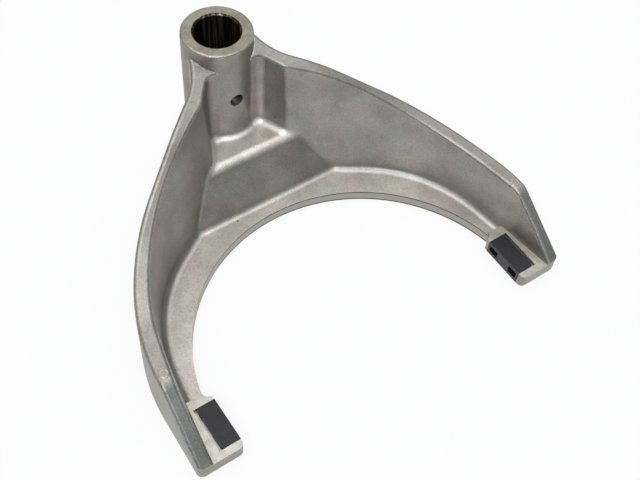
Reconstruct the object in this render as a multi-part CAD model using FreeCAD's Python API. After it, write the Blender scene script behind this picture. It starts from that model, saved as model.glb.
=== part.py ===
import FreeCAD, Part
import math
import os

from FreeCAD import Vector

# Shift fork of a manual gearbox, in millimetres.
# Z is the axis of the rail bore. The underside of the fork is at Z = 0.
# The arms reach from the hub along -Y, and the fork is symmetric about X = 0.
# "Reach" below is the distance from the bore axis towards the arm tips (-Y),
# and "half width" is the distance from the plane of symmetry (X).

# Hub and rail bore
bore_diameter = 16.0
hub_diameter = 25.0
hub_height = 61.1
bore_chamfer = 0.5
hub_rounding = 0.8
pin_hole_diameter = 5.0
pin_hole_height = 38.7

# Sleeve that the fork carries, and the room and metal round it
sleeve_reach = 100.0
pad_gap = 114.8
opening_clearance = 3.5
tip_width = 16.5
opening_radius = pad_gap / 2 + opening_clearance
tip_half_width = pad_gap / 2 + tip_width

# Outer face of the arms, given on the underside
outer_flank_angle = 52.2
outer_flank_offset = -2.0
outer_shoulder_radius = 71.5
outer_tip_angle = 1.7
outer_draft = 0.5
hub_flare_radius = 22.0
hub_flare_bite = 0.5

# Inner face of the walls, given on the flange and at the level of the hub's top
inner_flank_angles = (57.1, 62.8)
inner_flank_offsets = (11.6, 6.9)
inner_shoulder_radii = (55.2, 75.8)
inner_tip_angles = (7.3, 19.3)
inner_tip_insets = (5.5, -9.6)
web_front_reach = 10.8
web_half_width = 10.6
knee_half_widths = (14.6, 16.6)
corner_radius = 3.8
hub_corner_radius = 2.8
knee_radius = 5.0

# Top edge of the walls, seen from the side
wall_crest_height = 58.4
wall_crest_angle = 22.8
wall_brow_reach = 22.1
wall_brow_radius = 40.0
wall_slope_angle = 38.5
wall_dip_radius = 69.6
wall_tail_angle = 2.9
wall_tail_height = 24.1
facet_reach = 88.0
facet_end_height = 6.5
facet_radius = 6.0

# Ledge in front of the hub, and the flange round the sleeve
ledge_height = 21.6
ledge_reach = 23.4
ledge_radius = 5.0
slope_foot_reach = 33.4
flange_thickness = 4.2
foot_radius = 3.0
rim_radius = 1.2

# Arm tips
tip_back_reach = 88.5
tip_end_reach = 110.8
tip_top = 5.7
tip_bottom = 0.3
tip_corner_radius = 2.4
tip_nose_radius = 2.0
tip_run_out = 0.5
neck_reach = 90.4
neck_radius = 2.0
neck_corner_radius = 0.8

# Wear pads, and the tongues that they clip over
pad_length = 16.0
pad_depth = 6.7
pad_proud = 0.15
pad_web = 2.2
pad_leg = 1.5
pad_window_length = 4.0
pad_window_height = 3.0
pad_window_spacing = 10.1
pad_corner_radius = 1.2
pad_clearance = 0.1
recess_side_gap = 1.0

# Room left round the part by cutting bodies, and how near counts as touching
beyond = 30.0
touch = 0.03


def at(reach, half_width, height=0.0):
    """A point from its reach, half width and height."""
    return Vector(half_width, -reach, height)


def line_crossing(angle_a, offset_a, angle_b, offset_b):
    """Where two straight flanks meet.

    A flank at an angle to the reach direction holds the points where
    reach * sin(angle) - half_width * cos(angle) = offset.
    """
    a = math.radians(angle_a)
    b = math.radians(angle_b)
    spread = math.sin(b - a)
    reach = (offset_b * math.cos(a) - offset_a * math.cos(b)) / spread
    half_width = (offset_b * math.sin(a) - offset_a * math.sin(b)) / spread
    return reach, half_width


def flank_reach(angle, offset, half_width):
    """Reach of the point on a flank that has this half width."""
    a = math.radians(angle)
    return (offset + half_width * math.cos(a)) / math.sin(a)


def flank_through(angle, reach, half_width):
    """Offset of the flank at this angle through a point."""
    a = math.radians(angle)
    return reach * math.sin(a) - half_width * math.cos(a)


def rounded_wire(corners, closed=True):
    """A wire through (point, radius) corners, each rounded by a tangent arc."""
    count = len(corners)
    starts = []
    ends = []
    edges = []
    for index in range(count):
        point, radius = corners[index]
        before = corners[index - 1][0]
        after = corners[(index + 1) % count][0]
        is_end = not closed and index in (0, count - 1)
        if radius == 0 or is_end:
            starts.append(point)
            ends.append(point)
            edges.append(None)
            continue
        back = (before - point).normalize()
        ahead = (after - point).normalize()
        half_turn = (math.pi - back.getAngle(ahead)) / 2
        reach = radius * math.tan(half_turn)
        start = point + back * reach
        end = point + ahead * reach
        inward = (back + ahead).normalize()
        middle = point + inward * (radius / math.cos(half_turn) - radius)
        starts.append(start)
        ends.append(end)
        edges.append(Part.Arc(start, middle, end).toShape())
    wire = []
    for index in range(count):
        if edges[index] is not None:
            wire.append(edges[index])
        if index == count - 1 and not closed:
            break
        following = (index + 1) % count
        wire.append(Part.LineSegment(ends[index], starts[following]).toShape())
    return Part.Wire(wire)


def mirrored(corners):
    """The corners of a half outline followed by their mirror image."""
    other_side = [(Vector(-p.x, p.y, p.z), r) for p, r in reversed(corners)]
    return corners + other_side


def side_prism(corners):
    """A body across the whole fork, from its outline seen from the side."""
    half = tip_half_width + beyond
    outline = rounded_wire([(at(reach, -half, height), radius)
                            for reach, height, radius in corners])
    return Part.Face(outline).extrude(Vector(2 * half, 0, 0))


def outer_outline(height):
    """The outer plan of both arms at a height, drawn in by the draft."""
    inset = height * math.tan(math.radians(outer_draft))
    offset = outer_flank_offset + inset
    angle = math.radians(outer_flank_angle)
    across = Vector(-math.cos(angle), -math.sin(angle), 0)
    along = Vector(math.sin(angle), -math.cos(angle), 0)

    # The flare is an arc from just inside the hub to the straight flank.
    flare = hub_flare_radius + inset
    hub_radius = hub_diameter / 2 - hub_flare_bite
    side_step = offset - flare
    travel = math.sqrt((hub_radius + flare) ** 2 - side_step ** 2)
    flare_centre = across * side_step + along * travel
    on_hub = flare_centre * (hub_radius / flare_centre.Length)
    on_flank = flare_centre + across * flare
    chord_middle = (on_hub + on_flank) * 0.5
    toward = (chord_middle - flare_centre).normalize()
    on_flare = flare_centre + toward * flare
    level = Vector(0, 0, height)

    tip_offset = flank_through(outer_tip_angle, tip_end_reach, tip_half_width - inset)
    far = tip_end_reach + tip_run_out
    far_width = tip_half_width - inset + tip_run_out * math.tan(math.radians(outer_tip_angle))
    shoulder = line_crossing(outer_flank_angle, offset, outer_tip_angle, tip_offset)
    half = rounded_wire([
        (on_flank + level, 0),
        (at(*shoulder, height), outer_shoulder_radius - inset),
        (at(far, far_width, height), 0),
    ], closed=False)
    right = [Part.Arc(on_hub + level, on_flare + level, on_flank + level).toShape()]
    right += half.Edges
    left = []
    for edge in reversed(right):
        left.append(edge.mirror(Vector(0, 0, 0), Vector(1, 0, 0)))
    tip = at(far, far_width, height)
    tip_line = Part.LineSegment(tip, Vector(-tip.x, tip.y, tip.z)).toShape()
    start = on_hub + level
    hub_line = Part.LineSegment(Vector(-start.x, start.y, start.z), start).toShape()
    return Part.Wire(right + [tip_line] + left + [hub_line])


def wall_profile():
    """Everything under the top edge of the walls, seen from the side."""
    crest_rise = math.tan(math.radians(wall_crest_angle))
    slope_rise = math.tan(math.radians(wall_slope_angle))
    tail_rise = math.tan(math.radians(wall_tail_angle))
    brow_height = wall_crest_height - crest_rise * wall_brow_reach
    run = brow_height + slope_rise * wall_brow_reach
    tail = wall_tail_height + tail_rise * facet_reach
    dip_reach = (run - tail) / (slope_rise - tail_rise)
    dip_height = tail - tail_rise * dip_reach
    facet_fall = (wall_tail_height - facet_end_height) / (tip_end_reach - facet_reach)
    far = tip_end_reach + beyond
    return side_prism([
        (-beyond, -beyond, 0),
        (-beyond, wall_crest_height + crest_rise * beyond, 0),
        (wall_brow_reach, brow_height, wall_brow_radius),
        (dip_reach, dip_height, wall_dip_radius),
        (facet_reach, wall_tail_height, facet_radius),
        (far, facet_end_height - facet_fall * beyond, 0),
        (far, -beyond, 0),
    ])


def inner_outline(index, height):
    """The plan of the space between the walls at one of its two levels."""
    angle = inner_flank_angles[index]
    offset = inner_flank_offsets[index]
    tip_angle = inner_tip_angles[index]
    inner_width = tip_half_width - inner_tip_insets[index]
    tip_offset = flank_through(tip_angle, tip_end_reach, inner_width)
    shoulder = line_crossing(angle, offset, tip_angle, tip_offset)
    knee_width = knee_half_widths[index]
    knee_reach = flank_reach(angle, offset, knee_width)
    far = tip_end_reach + beyond
    far_width = inner_width + beyond * math.tan(math.radians(tip_angle))
    return rounded_wire(mirrored([
        (at(web_front_reach, web_half_width, height), corner_radius),
        (at(knee_reach, knee_width, height), knee_radius),
        (at(*shoulder, height), inner_shoulder_radii[index]),
        (at(far, far_width, height), 0),
    ]))


def ends_of(edge):
    """Both ends and the middle of an edge."""
    first, last = edge.ParameterRange
    return edge.valueAt(first), edge.valueAt(last), edge.valueAt((first + last) / 2)


def filleted(body, radius, wanted):
    """The body with a fillet on each edge that the test picks."""
    picked = [edge for edge in body.Edges if wanted(*ends_of(edge))]
    return body.makeFillet(radius, picked)


def touching(shell, *points):
    """Whether all of the points lie on a shell."""
    return all(shell.distToShape(Part.Vertex(point))[0] < touch for point in points)


def hub_cylinder():
    """The hub before it is bored."""
    return Part.makeCylinder(hub_diameter / 2, hub_height)


def full_arms():
    """Both arms at the full height of the hub, with drafted outer faces."""
    return Part.makeLoft([outer_outline(0), outer_outline(hub_height)], True, True)


def space_up_to_tips(between):
    """The space over the ledge and the flange, with its edges rounded.

    The roundings become fillets once the space is cut away.
    """
    above_floor = side_prism([
        (0, ledge_height, 0),
        (ledge_reach, ledge_height, ledge_radius),
        (slope_foot_reach, flange_thickness, foot_radius),
        (tip_back_reach, flange_thickness, 0),
        (tip_back_reach, hub_height + beyond, 0),
        (0, hub_height + beyond, 0),
    ])
    space = between.common(above_floor).cut(hub_cylinder())

    def beside_hub(a, b, middle):
        upright = abs(a.z - b.z) > ledge_height
        return upright and abs(middle.x) < web_half_width - hub_corner_radius + touch

    space = filleted(space, hub_corner_radius, beside_hub)

    def along_foot(a, b, middle):
        low = max(a.z, b.z) < ledge_height + touch
        lengthwise = abs(a.y - b.y) > touch
        round_hub = middle.y > -hub_diameter / 2 - touch
        return low and (lengthwise or round_hub)

    return filleted(space, foot_radius, along_foot)


def space_over_tips(between):
    """The space over the milled top faces of the arm tips."""
    far = tip_end_reach + 2 * beyond
    above_tips = side_prism([
        (tip_back_reach, tip_top, 0),
        (far, tip_top, 0),
        (far, hub_height + beyond, 0),
        (tip_back_reach, hub_height + beyond, 0),
    ])
    return between.common(above_tips)


def walls_and_floor():
    """The cast arms round their inner space, with rounded rims."""
    outlines = [inner_outline(0, flange_thickness), inner_outline(1, hub_height)]
    between = Part.makeLoft(outlines, True, True)
    space = space_up_to_tips(between).fuse(space_over_tips(between))
    profile = wall_profile()
    outside = full_arms()
    arms = outside.common(profile).cut(space)
    top_skin = profile.Shells[0]
    inner_skin = space.Shells[0]
    outer_skin = outside.Shells[0]

    def inner_rim(a, b, middle):
        return touching(top_skin, a, b, middle) and touching(inner_skin, middle)

    def outer_rim(a, b, middle):
        lengthwise = abs(a.y - b.y) > touch
        raised = middle.z > tip_top
        on_rim = touching(top_skin, a, b, middle) and touching(outer_skin, middle)
        return lengthwise and raised and on_rim and not touching(inner_skin, middle)

    arms = filleted(arms, rim_radius, inner_rim)
    return filleted(arms, rim_radius, outer_rim)


def room_for_casting():
    """The space that holds the casting, ending at the tips with rounded corners."""
    outline = rounded_wire(mirrored([
        (at(-beyond, tip_half_width), 0),
        (at(tip_end_reach, tip_half_width), tip_corner_radius),
    ]))
    return Part.Face(outline).extrude(Vector(0, 0, hub_height))


def sleeve_opening():
    """The space that the gearbox sleeve turns in, out between the tips."""
    height = hub_height + 2 * beyond
    back = -beyond
    round_part = Part.makeCylinder(opening_radius, height, at(sleeve_reach, 0, back))
    behind_tips = Part.makeBox(4 * opening_radius, neck_reach, height,
                               at(neck_reach, -2 * opening_radius, back))
    between_tips = Part.makeBox(pad_gap, tip_end_reach, height,
                                at(neck_reach + tip_end_reach, -pad_gap / 2, back))
    opening = round_part.common(behind_tips).fuse(between_tips)

    def at_neck(a, b, middle):
        upright = abs(a.z - b.z) > hub_height
        at_back = abs(middle.y + neck_reach) < touch
        return upright and at_back and abs(middle.x) > pad_gap / 2 + touch

    return filleted(opening, neck_radius, at_neck)


def tip_underside():
    """What is milled away under the arm tips."""
    return Part.makeBox(4 * tip_half_width, tip_end_reach, tip_bottom,
                        at(tip_back_reach + tip_end_reach, -2 * tip_half_width, 0))


def tongue_heights():
    """Bottom and top of the tongue that a wear pad clips over."""
    bottom = tip_bottom - pad_proud + pad_leg + pad_clearance
    top = tip_top + pad_proud - pad_leg - pad_clearance
    return bottom, top


def pad_recess(side):
    """The pocket for one wear pad, which leaves a tongue in the tip."""
    length = pad_length + 2 * pad_clearance
    near = pad_gap / 2
    deep = pad_depth + recess_side_gap
    front = sleeve_reach + length / 2
    bottom, top = tongue_heights()
    room = Part.makeBox(deep + beyond, length, tip_top + 2 * beyond,
                        at(front, near - beyond, -beyond))
    tongue = Part.makeBox(deep, length, top - bottom,
                          at(front, near + pad_web + pad_clearance, bottom))
    recess = room.cut(tongue)
    if side < 0:
        recess = recess.mirror(Vector(0, 0, 0), Vector(1, 0, 0))
    return recess


def wear_pad(side):
    """A channel that grips the tongue, with two windows in its rubbing face."""
    near = pad_gap / 2
    front = sleeve_reach + pad_length / 2
    pad_bottom = tip_bottom - pad_proud
    thickness = tip_top - tip_bottom + 2 * pad_proud
    bottom, top = tongue_heights()
    pad = Part.makeBox(pad_depth, pad_length, thickness, at(front, near, pad_bottom))

    def front_corner(a, b, middle):
        upright = abs(a.z - b.z) > thickness / 2
        return upright and middle.y < -sleeve_reach and middle.x > near + pad_depth / 2

    pad = filleted(pad, pad_corner_radius, front_corner)
    slot = Part.makeBox(pad_depth, 2 * pad_length,
                        top - bottom + 2 * pad_clearance,
                        at(sleeve_reach + pad_length, near + pad_web,
                           bottom - pad_clearance))
    pad = pad.cut(slot)
    middle_height = (tip_top + tip_bottom) / 2
    for step in (-0.5, 0.5):
        window = Part.makeBox(2 * pad_web, pad_window_length, pad_window_height,
                              at(sleeve_reach + step * pad_window_spacing
                                 + pad_window_length / 2,
                                 near - pad_web / 2,
                                 middle_height - pad_window_height / 2))
        pad = pad.cut(window)
    if side < 0:
        pad = pad.mirror(Vector(0, 0, 0), Vector(1, 0, 0))
    return pad


def bore_and_pin_hole():
    """The rail bore with its two chamfers, and the cross hole for the pin."""
    radius = bore_diameter / 2
    bore = Part.makeCylinder(radius, hub_height + 2 * beyond, Vector(0, 0, -beyond))
    wide = radius + bore_chamfer
    lower = Part.makeCone(wide, radius, bore_chamfer)
    upper = Part.makeCone(radius, wide, bore_chamfer,
                          Vector(0, 0, hub_height - bore_chamfer))
    pin_hole = Part.makeCylinder(pin_hole_diameter / 2, 2 * hub_diameter,
                                 at(hub_diameter, 0, pin_hole_height), Vector(0, 1, 0))
    return bore.fuse([lower, upper, pin_hole])


def fork_casting():
    """The hub and both arms, machined for the rail, the sleeve and the pads."""
    casting = walls_and_floor().common(room_for_casting()).fuse(hub_cylinder())
    casting = casting.cut(sleeve_opening()).cut(tip_underside())
    for side in (-1, 1):
        casting = casting.cut(pad_recess(side))

    def hub_top(a, b, middle):
        return (a - b).Length < touch and middle.z > hub_height - touch

    def inner_corner(a, b, middle, reach):
        upright = abs(a.x - b.x) < touch and abs(a.z - b.z) > flange_thickness
        in_place = abs(abs(middle.x) - pad_gap / 2) < touch
        return upright and in_place and abs(middle.y + reach) < touch

    def tip_nose(a, b, middle):
        return inner_corner(a, b, middle, tip_end_reach)

    def neck_corner(a, b, middle):
        return inner_corner(a, b, middle, neck_reach)

    casting = filleted(casting, hub_rounding, hub_top)
    casting = filleted(casting, tip_nose_radius, tip_nose)
    casting = filleted(casting, neck_corner_radius, neck_corner)
    return casting.cut(bore_and_pin_hole())


parts = {
    "fork_casting": fork_casting(),
    "left_pad": wear_pad(-1),
    "right_pad": wear_pad(1),
}

os.makedirs("parts", exist_ok=True)
for name, shape in parts.items():
    shape.exportStep("parts/" + name + ".step")
    print(name, "valid", shape.isValid(), "solids", len(shape.Solids),
          "volume", round(shape.Volume))
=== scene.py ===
# %% [markdown]
# # A gearbox shift fork, dressed in Blender
#
# The shift fork slides the sleeve of a manual gearbox along its shaft. One die casting
# in aluminium carries the hub, the two tall curved walls and the thin flange between
# them. Two small nylon pads clip over the tips of the arms, where they rub in the
# groove of the sleeve. The shapes come from the CAD model, which is exact. What is
# left for Blender is the skin: how the casting was made, cleaned, machined and worn.

import math

import bpy
import numpy as np
from mathutils import Matrix


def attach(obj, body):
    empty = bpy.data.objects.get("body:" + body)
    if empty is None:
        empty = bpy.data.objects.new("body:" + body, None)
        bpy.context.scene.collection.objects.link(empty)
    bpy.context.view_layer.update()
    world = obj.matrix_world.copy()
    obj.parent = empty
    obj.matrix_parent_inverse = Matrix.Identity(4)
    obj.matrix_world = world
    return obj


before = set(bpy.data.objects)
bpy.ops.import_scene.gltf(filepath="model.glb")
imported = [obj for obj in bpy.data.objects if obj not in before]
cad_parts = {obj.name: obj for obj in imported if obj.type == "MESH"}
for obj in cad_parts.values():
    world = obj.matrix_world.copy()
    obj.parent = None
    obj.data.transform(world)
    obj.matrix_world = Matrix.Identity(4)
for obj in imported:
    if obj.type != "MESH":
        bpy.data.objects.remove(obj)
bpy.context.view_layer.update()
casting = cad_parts["fork_casting"]
pads = [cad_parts["left_pad"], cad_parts["right_pad"]]
print("CAD nodes:", sorted(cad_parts))

# %% [markdown]
# ## The camera
#
# The camera was solved from the photograph: it stands at the front left, well above
# the part, with the view angle of a 55 mm lens on a full-frame sensor. A camera is a
# place and three directions at right angles. Setting its matrix from the directions
# is exact, while aiming it with a constraint would lose its small roll.

# %% Camera
CAMERA_PLACE = (-0.11988, -0.21417, 0.29009)
CAMERA_RIGHT = (0.82557, -0.56128, 0.05834)
CAMERA_UP = (0.43315, 0.69656, 0.57200)
LENS_MM = 54.82
SENSOR_MM = 36.0

camera_matrix = np.eye(4)
camera_matrix[:3, 0] = CAMERA_RIGHT
camera_matrix[:3, 1] = CAMERA_UP
camera_matrix[:3, 2] = np.cross(CAMERA_RIGHT, CAMERA_UP)
camera_matrix[:3, 3] = CAMERA_PLACE

camera_data = bpy.data.cameras.new("photo_camera")
camera_data.lens = LENS_MM
camera_data.sensor_width = SENSOR_MM
camera_data.sensor_fit = "HORIZONTAL"
camera = bpy.data.objects.new("photo_camera", camera_data)
camera.matrix_world = Matrix(camera_matrix.tolist())
bpy.context.scene.collection.objects.link(camera)
bpy.context.scene.camera = camera
bpy.context.scene.view_settings.view_transform = "Standard"
print("camera distance to the bore axis (m):", round(math.hypot(*CAMERA_PLACE[:2]), 3))

# %% [markdown]
# ## Colours and nodes
#
# Colours are written in sRGB, as on a paint card, and were tuned until the render's
# tones came near the photograph's. Blender computes light in linear values, so one
# function turns the hex code into linear numbers. A second small function adds a
# shader node, sets it up and links it in one call, so that a material reads from top
# to bottom like a recipe.


# %% Helpers for materials
def linear(code):
    """Linear RGBA of an sRGB hex code.

    A channel c is c / 12.92 up to 0.04045, and ((c + 0.055) / 1.055) ** 2.4 above it.
    """
    srgb = np.array([int(code[i:i + 2], 16) for i in (1, 3, 5)]) / 255
    low = srgb / 12.92
    high = ((srgb + 0.055) / 1.055) ** 2.4
    return (*np.where(srgb <= 0.04045, low, high).tolist(), 1.0)


def add(tree, kind, inputs=None, **settings):
    """A new node of a kind: settings are its attributes, inputs are values or links."""
    node = tree.nodes.new("ShaderNode" + kind)
    for name, value in settings.items():
        setattr(node, name, value)
    for name, value in (inputs or {}).items():
        if isinstance(value, bpy.types.NodeSocket):
            tree.links.new(value, node.inputs[name])
        else:
            node.inputs[name].default_value = value
    return node


def start_material(name):
    """An empty material, its node tree and its output node."""
    material = bpy.data.materials.new(name)
    material.use_nodes = True
    tree = material.node_tree
    tree.nodes.clear()
    return material, tree, add(tree, "OutputMaterial")


print("mid grey in linear light:", [round(c, 3) for c in linear("#808080")[:3]])

# %% [markdown]
# ## Asking a point where it is
#
# A mask is a product of soft steps: one step for each value that has to lie past its
# limit. The values are the point's place in millimetres, its normal, and how flat the
# ground is around it. An edge is found with Blender's Bevel node, which bends the
# normal within a small distance: where the bent normal differs from the true one, the
# surface turns.

# %% Helpers for masks
MM_PER_METRE = 1000.0
BEVEL_SAMPLES = 6


def mm_and_normal(tree):
    """The point's place in millimetres of the CAD frame, and its normal."""
    coords = add(tree, "TexCoord")
    place = add(tree, "Mapping", {"Vector": coords.outputs["Object"],
                                  "Scale": (MM_PER_METRE,) * 3})
    return place.outputs["Vector"], coords.outputs["Normal"]


def inside(tree, tests):
    """The share, 0 to 1, by which each value lies past its limit.

    Each test is (value, from, to): its step rises smoothly from 0 at `from` to 1 at
    `to`, and falls where `to` is the smaller. The steps are multiplied.
    """
    share = None
    for value, start, end in tests:
        step = add(tree, "MapRange", {"Value": value, "From Min": start, "From Max": end},
                   interpolation_type="SMOOTHSTEP").outputs[0]
        if share is None:
            share = step
        else:
            share = add(tree, "Math", {0: share, 1: step}, operation="MULTIPLY").outputs[0]
    return share


def flatness(tree, radius_mm):
    """How flat the ground is within a radius: 1 on a plane, less near an edge.

    It is the dot product of the true normal and the normal bent over the radius.
    """
    bent = add(tree, "Bevel", {"Radius": radius_mm / MM_PER_METRE}, samples=BEVEL_SAMPLES)
    true_normal = add(tree, "NewGeometry").outputs["Normal"]
    return add(tree, "VectorMath", {0: bent.outputs[0], 1: true_normal},
               operation="DOT_PRODUCT").outputs["Value"]


print("one metre of the frame is", MM_PER_METRE, "units of the materials")

# %% [markdown]
# ## The casting: where is the skin, where is cut metal?
#
# The fork is die-cast aluminium. Its skin was cleaned with fine shot, which leaves a
# dull, evenly dimpled surface: a metal, but far too rough for a mirror image. The end
# of the hub, the bore, the sleeve's opening and the tops of the tips were cut
# afterwards. All of this sits on one solid, so it could be painted as an image, but a
# material that asks each point where it is and which way it faces stays sharp at any
# distance. Lengths here are in millimetres of the CAD frame: the bore's axis is at
# x = y = 0, the sleeve's axis is at y = -100, and reach is the distance along -y.

# %% Aluminium: the values that the masks ask for
SLEEVE_AXIS = (0, -100, 0)

aluminium, tree, output = start_material("die_cast_aluminium")
mm, normal = mm_and_normal(tree)
spot = add(tree, "SeparateXYZ", {"Vector": mm})
facing = add(tree, "SeparateXYZ", {"Vector": normal})
x_mm, y_mm, z_mm = (spot.outputs[i] for i in range(3))
nx, nz = facing.outputs[0], facing.outputs[2]
x_side = add(tree, "Math", {0: x_mm}, operation="ABSOLUTE").outputs[0]
nx_side = add(tree, "Math", {0: nx}, operation="ABSOLUTE").outputs[0]
outward = add(tree, "Math", {0: x_mm, 1: nx}, operation="MULTIPLY").outputs[0]
reach = add(tree, "Math", {0: y_mm, 1: -1.0}, operation="MULTIPLY").outputs[0]
flat = add(tree, "VectorMath", {0: mm, 1: (1, 1, 0)}, operation="MULTIPLY").outputs[0]
from_axis = add(tree, "VectorMath", {0: flat}, operation="LENGTH").outputs["Value"]
from_sleeve = add(tree, "VectorMath", {0: flat, 1: SLEEVE_AXIS},
                  operation="DISTANCE").outputs["Value"]
print("values: place, normal, reach, distance from the bore and the sleeve")

# %% Aluminium: soft steps, from the first value to the second
# Millimetres, but for the last eight, which are parts of the normal.
IN_BORE_RADIUS = (8.70, 8.60)
HUB_SKIN_RADIUS = (13.4, 12.7)
PAST_HUB_RADIUS = (12.6, 14.5)
HUB_END_HEIGHT = (60.95, 61.05)
TIP_REACH = (88.2, 88.6)
TIP_TOP_HEIGHT = (6.1, 6.0)
OPENING_RADIUS = (61.15, 61.05)
OPENING_REACH = (89.5, 88.5)
FACET_REACH = (86.5, 88.5)
FACET_HEIGHT = (6.1, 6.6)
FLANGE_HEIGHT = (5.2, 4.4)
LEDGE_REACH = (25.0, 21.5)
LEDGE_LEAST_HEIGHT = (17.5, 20.5)
LEDGE_MOST_HEIGHT = (26.0, 23.0)
KNEE_REACH = (25.0, 22.5)
KNEE_HEIGHT = (22.0, 28.0)
FACES_MIDDLE = (0.0, -4.0)

LEVEL = (0.85, 0.95)
NEARLY_LEVEL = (0.80, 0.98)
TILTED_UP = (0.35, 0.98)
SLOPING = (0.2, 0.5)
SLOPING_OR_LEVEL = (0.2, 0.6)
UPRIGHT = (0.5, 0.3)
SIDEWAYS = (0.55, 0.9)
PARTLY_SIDEWAYS = (0.3, 0.9)
print("the cut opening ends between", *OPENING_RADIUS, "mm from the sleeve's axis")

# %% Aluminium: the masks
in_bore = inside(tree, [(from_axis, *IN_BORE_RADIUS)])
on_hub_end = inside(tree, [(z_mm, *HUB_END_HEIGHT)])
on_tip_top = inside(tree, [(reach, *TIP_REACH), (z_mm, *TIP_TOP_HEIGHT), (nz, *LEVEL)])
on_opening = inside(tree, [(from_sleeve, *OPENING_RADIUS), (nz, *UPRIGHT),
                           (reach, *OPENING_REACH)])
on_facet = inside(tree, [(reach, *FACET_REACH), (z_mm, *FACET_HEIGHT), (nz, *SLOPING)])
# The next five masks pick where painted light and painted shade go on the skin.
top_painted_light = inside(tree, [(nz, *TILTED_UP)])
flange_painted_light = inside(tree, [(nz, *NEARLY_LEVEL), (z_mm, *FLANGE_HEIGHT)])
ledge_painted_light = inside(tree, [(from_axis, *PAST_HUB_RADIUS), (reach, *LEDGE_REACH),
                         (nz, *SLOPING_OR_LEVEL), (z_mm, *LEDGE_LEAST_HEIGHT),
                         (z_mm, *LEDGE_MOST_HEIGHT)])
knee_painted_shade = inside(tree, [(outward, *FACES_MIDDLE), (nx_side, *SIDEWAYS),
                        (reach, *KNEE_REACH), (z_mm, *KNEE_HEIGHT)])
hub_flank_painted_shade = inside(tree, [(from_axis, *HUB_SKIN_RADIUS), (nx_side, *PARTLY_SIDEWAYS),
                             (nz, *UPRIGHT)])
print("masks: bore, hub end, tip tops, opening, facets, tops, flange, ledge, knees, flanks")

# %% [markdown]
# ## The casting: the skin's colour, with painted light and shade
#
# Shot-blasted aluminium isn't one grey. The shot leaves grains that catch the light one
# by one, and the melt leaves soft clouds, some a little pink and some a little green.
# Noise at two scales gives both: clouds about 11 mm wide, and grains about 0.5 mm wide,
# drawn coarser than such dimples usually are so that they show.
#
# Five gains then change whole surfaces, and all five are painted light and shade:
# tops, flange and ledge are painted lighter, as if more light fell on them, and the
# knees of the walls beside the hub and the hub's own flanks are painted darker, as
# painted shade where the walls and the hub hide each other from the light. Their
# sizes were found by comparing tones with the photograph.
# The facets at the ends of the walls get a darker, cooler tint, found the same way:
# painted shade, cool like the softbox at the front left.

# %% Aluminium: the noises
CLOUD_MM = 11.0
BLUSH_MM = CLOUD_MM / 0.7
BLUSH_SEED = 3.0
GRAIN_MM = 0.5
SMUDGE_MM = 2.5
KNOCK_MM = 1.6
RIPPLE_MM = 3.0
STREAK_SCALES = (0.9, 0.9, 0.03)

cloud = add(tree, "TexNoise", {"Vector": mm, "Scale": 1 / CLOUD_MM, "Detail": 3.0,
                               "Roughness": 0.55})
blush = add(tree, "TexNoise", {"Vector": mm, "W": BLUSH_SEED, "Scale": 1 / BLUSH_MM,
                               "Detail": 2.0}, noise_dimensions="4D")
grain = add(tree, "TexNoise", {"Vector": mm, "Scale": 1 / GRAIN_MM, "Detail": 2.0,
                               "Roughness": 0.6})
smudge = add(tree, "TexNoise", {"Vector": mm, "Scale": 1 / SMUDGE_MM, "Detail": 4.0,
                                "Roughness": 0.6})
knock = add(tree, "TexNoise", {"Vector": mm, "Scale": 1 / KNOCK_MM, "Detail": 3.0,
                               "Roughness": 0.7})
ripple = add(tree, "TexNoise", {"Vector": mm, "Scale": 1 / RIPPLE_MM, "Detail": 3.0,
                                "Roughness": 0.6})
drawn_out = add(tree, "VectorMath", {0: mm, 1: STREAK_SCALES}, operation="MULTIPLY")
streak = add(tree, "TexNoise", {"Vector": drawn_out.outputs[0], "Scale": 1.0, "Detail": 2.0})
print("clouds", CLOUD_MM, "mm, grains", GRAIN_MM, "mm")

# %% Aluminium: each tone runs between two colours of a noise
TONES = {
    "skin": (cloud, (0.32, "#908e8a"), (0.68, "#a5a39e")),
    "tint": (blush, (0.38, "#fff8f6"), (0.62, "#f9fcf8")),
    "bore": (streak, (0.48, "#342d29"), (0.70, "#94867a")),
    "hub end": (smudge, (0.35, "#a8a28e"), (0.65, "#c6c2b2")),
    "tip": (smudge, (0.35, "#c2c0b2"), (0.65, "#dad8cc")),
}
tones = {}
for tone_name, (noise, *stops) in TONES.items():
    ramp = add(tree, "ValToRGB", {"Fac": noise.outputs["Fac"]})
    for element, (position, code) in zip(ramp.color_ramp.elements, stops):
        element.position = position
        element.color = linear(code)
    tones[tone_name] = ramp.outputs[0]
print("tones:", ", ".join(tones))

# %% Aluminium: the skin, with painted light and shade by surface
GRAIN_SPAN = (0.30, 0.70)
GRAIN_GAINS = (0.84, 1.16)
# Painted light and shade: tops, flange and ledge lighter, knees and hub flanks darker.
PAINTED_LIGHT_AND_SHADE_GAINS = ((top_painted_light, 1.30), (flange_painted_light, 1.62), (ledge_painted_light, 2.35), (knee_painted_shade, 0.62),
         (hub_flank_painted_shade, 0.76))
WHITE = linear("#ffffff")
# Painted shade for the facets, cool like the softbox at the front left.
FACET_PAINTED_SHADE = linear("#e0e8ec")

grain_and_light_gain = add(tree, "MapRange", {"Value": grain.outputs["Fac"], "From Min": GRAIN_SPAN[0],
                              "From Max": GRAIN_SPAN[1], "To Min": GRAIN_GAINS[0],
                              "To Max": GRAIN_GAINS[1]}).outputs[0]
for mask, full_gain in PAINTED_LIGHT_AND_SHADE_GAINS:
    factor = add(tree, "MapRange", {"Value": mask, "To Min": 1.0, "To Max": full_gain})
    grain_and_light_gain = add(tree, "Math", {0: grain_and_light_gain, 1: factor.outputs[0]}, operation="MULTIPLY").outputs[0]
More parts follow.
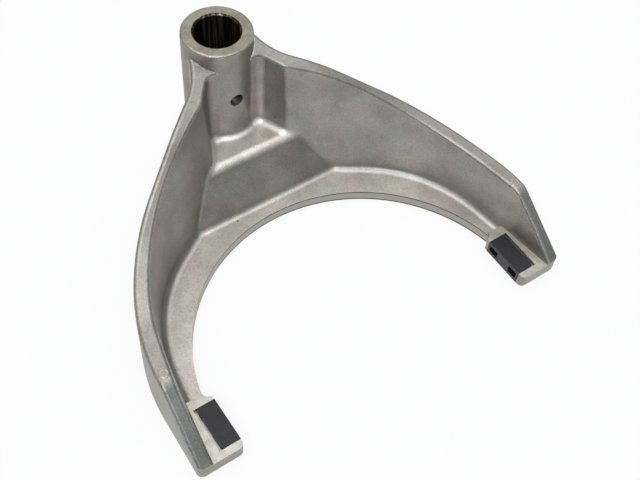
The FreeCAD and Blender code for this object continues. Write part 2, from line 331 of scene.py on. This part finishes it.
# The facets are darkened and cooled: painted shade.
facet_painted_shade = add(tree, "Mix", {"Factor": on_facet, 6: WHITE, 7: FACET_PAINTED_SHADE}, data_type="RGBA")
# From here on the skin also carries the painted light and shade.
skin = tones["skin"]
for part in (tones["tint"], grain_and_light_gain, facet_painted_shade.outputs[2]):
    skin = add(tree, "VectorMath", {0: skin, 1: part}, operation="MULTIPLY").outputs[0]
print("gains:", [full_gain for _, full_gain in PAINTED_LIGHT_AND_SHADE_GAINS])

# %% [markdown]
# ## The casting: worn rims and pits
#
# Parts in a bin knock against each other along their rims and rub them bright. The
# broken bright line on the rims is partly this wear and partly painted highlight,
# where the rims would catch the light. Inner corners bend too, so the mask leaves out
# the floor and the corners about the ledge, where nothing could rub. A few small dark
# pits are gas pores of the casting, one in each cell of a Voronoi pattern.

# %% Aluminium: worn rims with painted highlight, pits
RIM_MM = 0.9
RIM_BEND = (0.997, 0.975)
ABOVE_FLOOR_HEIGHT = (8.0, 10.0)
CORNERS_REACH = (27.0, 26.0)
CORNERS_SIDE = (19.5, 19.0)
CORNERS_HEIGHT = (47.0, 45.0)
KNOCKED = (0.42, 0.56)
PIT_SPACING_MM = 13.0
PIT_MM = 0.32
PIT_RIM_MM = 1.3 * PIT_MM

bend = inside(tree, [(flatness(tree, RIM_MM), *RIM_BEND), (z_mm, *ABOVE_FLOOR_HEIGHT)])
inner_corner = inside(tree, [(reach, *CORNERS_REACH), (x_side, *CORNERS_SIDE),
                             (z_mm, *CORNERS_HEIGHT)])
outer_rim = add(tree, "Math", {0: 1.0, 1: inner_corner}, operation="SUBTRACT").outputs[0]
# The bright rim is partly rubbed wear and partly painted highlight along the rims.
wear_and_highlight = inside(tree, [(knock.outputs["Fac"], *KNOCKED)])
for share in (bend, outer_rim):
    wear_and_highlight = add(tree, "Math", {0: wear_and_highlight, 1: share}, operation="MULTIPLY").outputs[0]
pores = add(tree, "TexVoronoi", {"Vector": mm, "Scale": 1 / PIT_SPACING_MM})
in_pit = inside(tree, [(pores.outputs["Distance"], PIT_RIM_MM / PIT_SPACING_MM,
                        PIT_MM / PIT_SPACING_MM)])
print("rim", RIM_MM, "mm, one pore each", PIT_SPACING_MM, "mm")

# %% [markdown]
# ## The casting: cut metal
#
# A lathe tool leaves fine rings on the end of the hub, and an end mill leaves fine arcs
# on the tips: both are a sine of the distance from an axis. They are lighter and
# smoother than the skin. The bore is almost black in the photograph, with streaks
# along its axis, and is coloured so. The opening was cut too, and its
# two edges carry a thin dark burr.

# %% Aluminium: tool marks and burr
TOOL_MARK_MM = 0.45
BURR_TOP_HEIGHT = (3.55, 3.85)
BURR_BOTTOM_HEIGHT = (0.75, 0.45)
OPENING_COLOUR = linear("#a5a39b")
BURR_COLOUR = linear("#4b4843")

marks = []
for distance, mask in ((from_axis, on_hub_end), (from_sleeve, on_tip_top)):
    angle = add(tree, "Math", {0: distance, 1: 2 * math.pi / TOOL_MARK_MM},
                operation="MULTIPLY")
    wave = add(tree, "Math", {0: angle.outputs[0]}, operation="SINE")
    marks.append(add(tree, "Math", {0: wave.outputs[0], 1: mask}, operation="MULTIPLY"))
burr_top = inside(tree, [(z_mm, *BURR_TOP_HEIGHT)])
burr_bottom = inside(tree, [(z_mm, *BURR_BOTTOM_HEIGHT)])
burr = add(tree, "Math", {0: burr_top, 1: burr_bottom}, operation="MAXIMUM")
opening_tone = add(tree, "Mix", {"Factor": burr.outputs[0], 6: OPENING_COLOUR,
                                 7: BURR_COLOUR}, data_type="RGBA")
print("tool marks", TOOL_MARK_MM, "mm apart")

# %% Aluminium: one colour from skin, wear, pits and cuts
# One colour for both the rubbed wear and the painted highlight on the rims.
WEAR_AND_HIGHLIGHT_COLOUR = linear("#ecebe7")
PIT_COLOUR = linear("#4a463f")
SKIN_ROUGHNESS = 0.43
CUT_ROUGHNESS = 0.38

colour = skin
for mask, over in ((wear_and_highlight, WEAR_AND_HIGHLIGHT_COLOUR), (in_pit, PIT_COLOUR),
                   (on_opening, opening_tone.outputs[2]), (on_tip_top, tones["tip"]),
                   (on_hub_end, tones["hub end"]), (in_bore, tones["bore"])):
    layer = add(tree, "Mix", {"Factor": mask, 6: colour, 7: over}, data_type="RGBA")
    colour = layer.outputs[2]
cut = on_tip_top
for mask in (on_hub_end, in_bore):
    cut = add(tree, "Math", {0: cut, 1: mask}, operation="MAXIMUM").outputs[0]
smooth = add(tree, "Math", {0: cut, 1: wear_and_highlight}, operation="MAXIMUM")
rough = add(tree, "MapRange", {"Value": smooth.outputs[0], "To Min": SKIN_ROUGHNESS,
                               "To Max": CUT_ROUGHNESS})
print("layers over the skin: wear, pits, opening, tips, hub end, bore")

# %% Aluminium: relief of grains, tool marks and ripples, and the finished metal
MARK_HEIGHT = 0.12
RIPPLE_HEIGHT = 1.1
GRAIN_LEFT_ON_CUTS = 0.15
RELIEF_STRENGTH = 0.45
RELIEF_METRES = 0.00012
METAL_SHARE = 0.9

both_marks = add(tree, "Math", {0: marks[0].outputs[0], 1: marks[1].outputs[0]},
                 operation="ADD")
grain_left = add(tree, "MapRange", {"Value": cut, "To Min": 1.0,
                                    "To Max": GRAIN_LEFT_ON_CUTS})
relief = add(tree, "Math", {0: grain.outputs["Fac"], 1: grain_left.outputs[0]},
             operation="MULTIPLY").outputs[0]
for height, scale in ((both_marks, MARK_HEIGHT), (ripple, RIPPLE_HEIGHT)):
    relief = add(tree, "Math", {0: height.outputs[0], 1: scale, 2: relief},
                 operation="MULTIPLY_ADD").outputs[0]
bump = add(tree, "Bump", {"Height": relief, "Strength": RELIEF_STRENGTH,
                          "Distance": RELIEF_METRES})
metal = add(tree, "BsdfPrincipled", {"Base Color": colour, "Metallic": METAL_SHARE,
                                     "Roughness": rough.outputs[0],
                                     "Normal": bump.outputs[0]})
tree.links.new(metal.outputs[0], output.inputs[0])
casting.data.materials.clear()
casting.data.materials.append(aluminium)
print("casting material nodes:", len(tree.nodes))

# %% [markdown]
# ## Ejector marks
#
# Pins push a die casting out of its mould and leave a round mark where they stood: here
# one on each wall, near the end of its top edge. Each is a low disc with a rounded edge.
# It could be a bump in the material, but then it would be missing from the mesh, so
# it is a profile turned about the disc's own axis.

# %% Ejector marks
MARK_RADIUS = 0.00165
MARK_RISE = 0.00012
MARK_ROOT = 0.00050
MARK_PROFILE = np.array([(0.82, 1.0), (0.91, 0.85), (0.97, 0.4), (1.0, -0.5)])
MARK_PLACE = (0.0701, -0.0847, 0.02427)
MARK_TILT = math.radians(2.9)
MARK_STEPS = 48


def turned_disc(name, centre, tilt):
    """A closed disc: the profile (r, h) turned by the angle a about the disc's axis.

    A point is centre + r cos(a) * across + r sin(a) * along + h * normal.
    """
    radii = np.append(MARK_PROFILE[:, 0] * MARK_RADIUS, MARK_RADIUS)
    rises = np.append(MARK_PROFILE[:, 1] * MARK_RISE, -MARK_ROOT)
    step = np.arange(MARK_STEPS)
    angles = step * 2 * math.pi / MARK_STEPS
    across = np.array((1.0, 0.0, 0.0))
    normal = np.array((0.0, -math.sin(tilt), math.cos(tilt)))
    along = np.cross(normal, across)
    ring = np.cos(angles)[:, None] * across + np.sin(angles)[:, None] * along
    points = centre + radii[:, None, None] * ring + rises[:, None, None] * normal
    top = centre + MARK_RISE * normal
    bottom = centre - MARK_ROOT * normal
    vertices = np.vstack([points.reshape(-1, 3), top[None], bottom[None]])
    top_number, bottom_number = len(vertices) - 2, len(vertices) - 1

    rows, columns = np.meshgrid(np.arange(len(radii) - 1), step, indexing="ij")
    following = (columns + 1) % MARK_STEPS
    upper = rows * MARK_STEPS
    lower = upper + MARK_STEPS
    sides = np.stack([upper + columns, lower + columns, lower + following,
                      upper + following], axis=-1).reshape(-1, 4)
    beyond = (step + 1) % MARK_STEPS
    last = (len(radii) - 1) * MARK_STEPS
    lid = np.stack([np.full(MARK_STEPS, top_number), step, beyond], axis=-1)
    base = np.stack([np.full(MARK_STEPS, bottom_number), last + beyond, last + step],
                    axis=-1)

    mesh = bpy.data.meshes.new(name)
    mesh.from_pydata(vertices.tolist(), [], sides.tolist() + lid.tolist() + base.tolist())
    mesh.polygons.foreach_set("use_smooth", np.ones(len(mesh.polygons), dtype=bool))
    mesh.materials.append(aluminium)
    disc = bpy.data.objects.new(name, mesh)
    bpy.context.scene.collection.objects.link(disc)
    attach(disc, "root")
    return disc


for mark_name, side in (("left_ejector_mark", -1), ("right_ejector_mark", 1)):
    mark = turned_disc(mark_name, np.array(MARK_PLACE) * (side, 1, 1), MARK_TILT)
    print(mark.name, "faces:", len(mark.data.polygons))

# %% [markdown]
# ## The wear pads
#
# The pads are a dark moulded plastic, taken here to be black nylon, which is common for
# them. Nylon takes a fine satin from its mould, so it shows a soft highlight and no
# image. It gets a dark colour that is never quite black, a roughness near 0.4 and a
# very small relief. Its edges are polished by the sleeve, which shows as a broken
# lighter line.

# %% Nylon
SATIN_MM = 0.5
SATIN_STOPS = ((0.35, "#17171b"), (0.65, "#242429"))
SATIN_STRENGTH = 0.3
SATIN_METRES = 0.0001
PAD_RIM_MM = 0.45
PAD_RIM_BEND = (0.99, 0.93)
RUB_MM = 1.2
RUBBED = (0.50, 0.62)
POLISHED_COLOUR = linear("#5f5f66")
NYLON_ROUGHNESS = 0.42
NYLON_IOR = 1.53

nylon, tree, output = start_material("moulded_black_nylon")
mm, _ = mm_and_normal(tree)
satin = add(tree, "TexNoise", {"Vector": mm, "Scale": 1 / SATIN_MM, "Detail": 2.0})
ramp = add(tree, "ValToRGB", {"Fac": satin.outputs["Fac"]})
for element, (position, code) in zip(ramp.color_ramp.elements, SATIN_STOPS):
    element.position = position
    element.color = linear(code)
rub = add(tree, "TexNoise", {"Vector": mm, "Scale": 1 / RUB_MM, "Detail": 3.0,
                             "Roughness": 0.7})
polish = inside(tree, [(flatness(tree, PAD_RIM_MM), *PAD_RIM_BEND),
                       (rub.outputs["Fac"], *RUBBED)])
shade = add(tree, "Mix", {"Factor": polish, 6: ramp.outputs[0], 7: POLISHED_COLOUR},
            data_type="RGBA")
bump = add(tree, "Bump", {"Height": satin.outputs["Fac"], "Strength": SATIN_STRENGTH,
                          "Distance": SATIN_METRES})
plastic = add(tree, "BsdfPrincipled", {"Base Color": shade.outputs[2],
                                       "Roughness": NYLON_ROUGHNESS, "IOR": NYLON_IOR,
                                       "Normal": bump.outputs[0]})
tree.links.new(plastic.outputs[0], output.inputs[0])
for pad in pads:
    pad.data.materials.clear()
    pad.data.materials.append(nylon)
print("pads:", [pad.name for pad in pads])

# %% [markdown]
# ## Floor and light
#
# A white floor stands in for the photographer's table. It is so wide that its far edge
# is out of sight. For rays that come from the camera, or from a surface that mirrors
# or passes them on, most of its white is glow, so it stays white all over. The rest is
# matte paper, which keeps the part's shadow. The light was fitted: the part was
# rendered with one light at a time, and least squares found the mix whose tones come
# nearest to the photograph's. It is a sky that fades from bright overhead to dark at
# the side, a softbox at the front left and a weak one overhead. Their strengths were
# then adjusted a little.

# %% The floor
FLOOR_HALF = 50.0
FLOOR_DROP = 0.0003
GLOW_SHARE = 0.85
FLOOR_CORNERS = ((-1, -1), (1, -1), (1, 1), (-1, 1))

floor_mesh = bpy.data.meshes.new("floor")
floor_mesh.from_pydata([(x * FLOOR_HALF, y * FLOOR_HALF, -FLOOR_DROP)
                        for x, y in FLOOR_CORNERS], [], [(0, 1, 2, 3)])
floor = bpy.data.objects.new("floor", floor_mesh)
bpy.context.scene.collection.objects.link(floor)
paper, tree, output = start_material("white_paper")
matte = add(tree, "BsdfDiffuse", {"Color": WHITE})
glow = add(tree, "Emission", {"Color": WHITE, "Strength": 1.0})
path = add(tree, "LightPath")
direct = path.outputs["Is Camera Ray"]
for ray in ("Is Glossy Ray", "Is Transmission Ray"):
    direct = add(tree, "Math", {0: direct, 1: path.outputs[ray]},
                 operation="MAXIMUM").outputs[0]
share = add(tree, "Math", {0: direct, 1: GLOW_SHARE}, operation="MULTIPLY")
mixed = add(tree, "MixShader", {"Fac": share.outputs[0], 1: matte.outputs[0],
                                2: glow.outputs[0]})
tree.links.new(mixed.outputs[0], output.inputs[0])
floor_mesh.materials.append(paper)
print("floor half width (m):", FLOOR_HALF)

# %% Lamps: a name, the place in metres, the size in metres, the power in watts, the tint
LAMPS = (
    ("softbox_front_left", (-1.26, -1.26, 2.16), 1.0, 21.0, (0.90, 0.93, 1.0)),
    ("softbox_over", (0.0, 0.06, 2.80), 1.0, 6.0, (1.0, 1.0, 1.0)),
)
AIM = (0.0, -0.05, 0.02)
LAMP_EDGE = (0.0, 1.0, 0.0)

for lamp_name, lamp_place, lamp_size, lamp_power, lamp_tint in LAMPS:
    lamp_data = bpy.data.lights.new(lamp_name, "AREA")
    lamp_data.shape = "SQUARE"
    lamp_data.size = lamp_size
    lamp_data.energy = lamp_power
    lamp_data.color = lamp_tint
    lamp = bpy.data.objects.new(lamp_name, lamp_data)
    behind = np.subtract(lamp_place, AIM)
    behind /= np.linalg.norm(behind)
    side = np.cross(LAMP_EDGE, behind)
    side /= np.linalg.norm(side)
    lamp_matrix = np.eye(4)
    lamp_matrix[:3, 0] = side
    lamp_matrix[:3, 1] = np.cross(behind, side)
    lamp_matrix[:3, 2] = behind
    lamp_matrix[:3, 3] = lamp_place
    lamp.matrix_world = Matrix(lamp_matrix.tolist())
    bpy.context.scene.collection.objects.link(lamp)
    print(lamp_name, lamp_power, "W")

# %% The sky: its strength rises with the square of the height above the horizon
SKY_OVERHEAD = 1.15
SKY_HORIZON = 0.14

world = bpy.data.worlds.new("studio")
bpy.context.scene.world = world
world.use_nodes = True
sky = world.node_tree
sky.nodes.clear()
direction = add(sky, "TexCoord")
height = add(sky, "SeparateXYZ", {"Vector": direction.outputs["Generated"]})
above = add(sky, "Math", {0: height.outputs[2], 1: 0.0}, operation="MAXIMUM")
squared = add(sky, "Math", {0: above.outputs[0], 1: 2.0}, operation="POWER")
bright = add(sky, "MapRange", {"Value": squared.outputs[0], "To Min": SKY_HORIZON,
                               "To Max": SKY_OVERHEAD})
fill = add(sky, "Background", {"Color": WHITE, "Strength": bright.outputs[0]})
add(sky, "OutputWorld", {"Surface": fill.outputs[0]})
print("sky strength from", SKY_HORIZON, "to", SKY_OVERHEAD)
